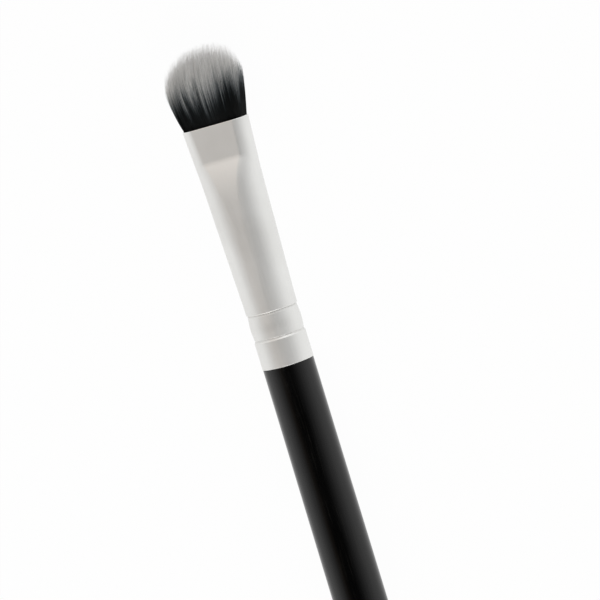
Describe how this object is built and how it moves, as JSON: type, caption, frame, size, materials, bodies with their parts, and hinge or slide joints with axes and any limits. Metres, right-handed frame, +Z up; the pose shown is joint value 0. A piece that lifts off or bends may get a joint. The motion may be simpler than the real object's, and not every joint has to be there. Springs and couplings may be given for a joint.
{
  "type": "eyeshadow brush",
  "caption": "Slim brush for pressing and blending eyeshadow: domed flat tuft, flattened metal ferrule with two rolled grooves, and a long tapered handle.",
  "frame": {"origin": "bottom centre of the whole brush, on the table that the brush lies on, below its axis and midway between the tail's end and the hair tips", "axes": "+X along the brush towards the hair tips, +Y across the flat tuft, +Z up and square to the ferrule's two pressed flats"},
  "size_m": [0.17, 0.0113, 0.0073],
  "materials": {
    "handle": "turned hardwood under satin black lacquer",
    "ferrule": "drawn aluminium, fine satin, clear anodised",
    "tuft": "soft synthetic fibres, black at the root and off-white at the tip",
    "root_plug": "cast amber resin, hidden inside the ferrule",
    "tenon_glue": "set pale adhesive, hidden inside the ferrule"
  },
  "bodies": {
    "root": {"handle": "handle", "ferrule": "ferrule", "tuft": "tuft", "root_plug": "root_plug", "tenon_glue": "tenon_glue"}
  },
  "joints": []
}
